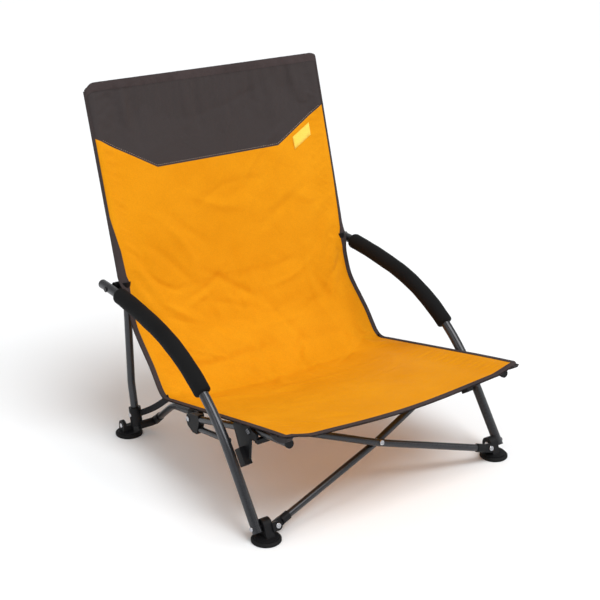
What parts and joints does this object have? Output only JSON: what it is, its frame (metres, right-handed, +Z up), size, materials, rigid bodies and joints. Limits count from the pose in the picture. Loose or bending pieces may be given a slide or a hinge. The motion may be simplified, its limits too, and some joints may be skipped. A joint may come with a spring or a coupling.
{
  "type": "folding low beach chair",
  "caption": "Low folding sling chair with foam-covered curved arm tubes that run down as front legs, crossed front bars and round foot pads.",
  "frame": {"origin": "on the floor under the middle of the whole chair, on the plane of symmetry", "axes": "+Z up, -Y to the front where the sitter faces, +X to the sitter's left"},
  "size_m": [0.616, 0.7055, 0.7048],
  "materials": {
    "frame_tube": "satin gunmetal powder coat",
    "black_plastic": "moulded black nylon",
    "black_rubber": "matt rubber",
    "black_foam": "closed-cell foam skin",
    "rivet_steel": "bright plated",
    "orange_fabric": "fine woven polyester",
    "dark_fabric": "fine woven polyester",
    "black_webbing": "flat ribbed webbing",
    "plain_tag": "plain woven tag"
  },
  "bodies": {
    "front_foot_right": {"front_hub_right": "black_plastic", "front_pad_right": "black_rubber", "front_hub_rivets_right": "rivet_steel"},
    "bar_right": {"front_bar_right": "frame_tube", "front_bar_ends_right": "black_plastic", "front_cross_rivet": "rivet_steel"},
    "arm_right": {"arm_tube_right": "frame_tube", "arm_foam_right": "black_foam", "arm_plug_right": "black_plastic"},
    "post_right": {"rear_post_right": "frame_tube", "post_sleeve_right": "dark_fabric", "arm_bracket_right": "black_plastic", "arm_pivot_rivet_right": "rivet_steel", "rear_hub_right": "black_plastic", "rear_pad_right": "black_rubber", "rear_hub_rivets_right": "rivet_steel", "corner_strap_right": "black_webbing", "sling_back": "orange_fabric", "headrest_panel": "dark_fabric", "side_tag": "plain_tag"},
    "link_right": {"rear_link_right": "frame_tube", "link_ends_right": "black_plastic"},
    "clip_right": {"leg_clip_right": "black_plastic", "clip_rivets_right": "rivet_steel"},
    "rail_right": {"side_rail_right": "frame_tube", "rail_cap_right": "black_plastic", "lower_stay_right": "frame_tube", "knee_knuckle_right": "black_plastic", "knee_rivet_right": "rivet_steel", "corner_pocket_right": "dark_fabric"},
    "front_foot_left": {"front_hub_left": "black_plastic", "front_pad_left": "black_rubber", "front_hub_rivets_left": "rivet_steel"},
    "bar_left": {"front_bar_left": "frame_tube", "front_bar_ends_left": "black_plastic"},
    "arm_left": {"arm_tube_left": "frame_tube", "arm_foam_left": "black_foam", "arm_plug_left": "black_plastic"},
    "post_left": {"rear_post_left": "frame_tube", "post_sleeve_left": "dark_fabric", "arm_bracket_left": "black_plastic", "arm_pivot_rivet_left": "rivet_steel", "rear_hub_left": "black_plastic", "rear_pad_left": "black_rubber", "rear_hub_rivets_left": "rivet_steel", "corner_strap_left": "black_webbing"},
    "link_left": {"rear_link_left": "frame_tube", "link_ends_left": "black_plastic"},
    "clip_left": {"leg_clip_left": "black_plastic", "clip_rivets_left": "rivet_steel"},
    "rail_left": {"side_rail_left": "frame_tube", "rail_cap_left": "black_plastic", "lower_stay_left": "frame_tube", "knee_knuckle_left": "black_plastic", "knee_rivet_left": "rivet_steel", "corner_pocket_left": "dark_fabric"},
    "seat_rear": {"sling_seat_rear": "orange_fabric"},
    "seat_front": {"sling_seat_front": "orange_fabric"}
  },
  "joints": [
    {"name": "fold", "type": "hinge", "parent": "front_foot_right", "child": "bar_right", "pos_m": [-0.25393, -0.28281, 0.02079], "axis": [0, -0.9063, 0.4226], "range_deg": [0, 60], "deforming": ["headrest_panel", "sling_back", "side_tag", "corner_strap_right", "corner_strap_left", "corner_pocket_right", "corner_pocket_left", "post_sleeve_right", "post_sleeve_left"]},
    {"name": "bar_left_turn", "type": "hinge", "parent": "bar_right", "child": "bar_left", "pos_m": [0, -0.25483, 0.09878], "axis": [0, 0.9063, -0.4226], "range_deg": [0, 120.01]},
    {"name": "arm_turn_right", "type": "hinge", "parent": "front_foot_right", "child": "arm_right", "pos_m": [-0.291, -0.2777, 0.026], "axis": [1, 0, 0], "range_deg": [0, 31.15]},
    {"name": "post_turn_right", "type": "hinge", "parent": "arm_right", "child": "post_right", "pos_m": [-0.267, 0.2503, 0.317], "axis": [1, 0, 0], "range_deg": [-39.15, 0]},
    {"name": "link_turn_right", "type": "hinge", "parent": "post_right", "child": "link_right", "pos_m": [-0.231, 0.1993, 0.024], "axis": [1, 0, 0], "range_deg": [-120.75, 0]},
    {"name": "clip_turn_right", "type": "hinge", "parent": "bar_left", "child": "clip_right", "pos_m": [-0.23402, -0.22176, 0.18768], "axis": [0, 0.9063, -0.4226], "range_deg": [-60.01, 0]},
    {"name": "rail_turn_right", "type": "hinge", "parent": "clip_right", "child": "rail_right", "pos_m": [-0.251, -0.21487, 0.18447], "axis": [1, 0, 0], "range_deg": [-16.84, 0]},
    {"name": "front_foot_turn_left", "type": "hinge", "parent": "bar_left", "child": "front_foot_left", "pos_m": [0.25393, -0.29659, 0.02721], "axis": [0, 0.9063, -0.4226], "range_deg": [-60.01, 0]},
    {"name": "arm_turn_left", "type": "hinge", "parent": "front_foot_left", "child": "arm_left", "pos_m": [0.291, -0.2777, 0.026], "axis": [1, 0, 0], "range_deg": [0, 31.15]},
    {"name": "post_turn_left", "type": "hinge", "parent": "arm_left", "child": "post_left", "pos_m": [0.267, 0.2503, 0.317], "axis": [1, 0, 0], "range_deg": [-39.15, 0]},
    {"name": "link_turn_left", "type": "hinge", "parent": "post_left", "child": "link_left", "pos_m": [0.231, 0.1993, 0.024], "axis": [1, 0, 0], "range_deg": [-120.75, 0]},
    {"name": "clip_turn_left", "type": "hinge", "parent": "bar_right", "child": "clip_left", "pos_m": [0.23402, -0.20798, 0.18126], "axis": [0, -0.9063, 0.4226], "range_deg": [-60.01, 0]},
    {"name": "rail_turn_left", "type": "hinge", "parent": "clip_left", "child": "rail_left", "pos_m": [0.251, -0.21487, 0.18447], "axis": [1, 0, 0], "range_deg": [-16.84, 0]},
    {"name": "seat_rear_turn", "type": "hinge", "parent": "post_right", "child": "seat_rear", "pos_m": [0, 0.0813, 0.134], "axis": [1, 0, 0], "range_deg": [0, 2.25], "deforming": ["sling_seat_rear"]},
    {"name": "seat_front_turn", "type": "hinge", "parent": "rail_right", "child": "seat_front", "pos_m": [0, -0.3467, 0.229], "axis": [1, 0, 0], "range_deg": [-120.88, 0], "deforming": ["sling_seat_front"]}
  ],
  "couplings": [
    {"joint": "bar_left_turn", "follows": "fold", "ratio": 2},
    {"joint": "arm_turn_right", "follows": "fold", "ratio": 0.51899},
    {"joint": "post_turn_right", "follows": "fold", "ratio": -0.65232},
    {"joint": "link_turn_right", "follows": "fold", "ratio": -2.0124},
    {"joint": "clip_turn_right", "follows": "fold", "ratio": -1},
    {"joint": "rail_turn_right", "follows": "fold", "ratio": -0.28053},
    {"joint": "front_foot_turn_left", "follows": "fold", "ratio": -1},
    {"joint": "arm_turn_left", "follows": "fold", "ratio": 0.51899},
    {"joint": "post_turn_left", "follows": "fold", "ratio": -0.65232},
    {"joint": "link_turn_left", "follows": "fold", "ratio": -2.0124},
    {"joint": "clip_turn_left", "follows": "fold", "ratio": -1},
    {"joint": "rail_turn_left", "follows": "fold", "ratio": -0.28053},
    {"joint": "seat_rear_turn", "follows": "fold", "ratio": 0.037377},
    {"joint": "seat_front_turn", "follows": "fold", "ratio": -2.0145}
  ]
}
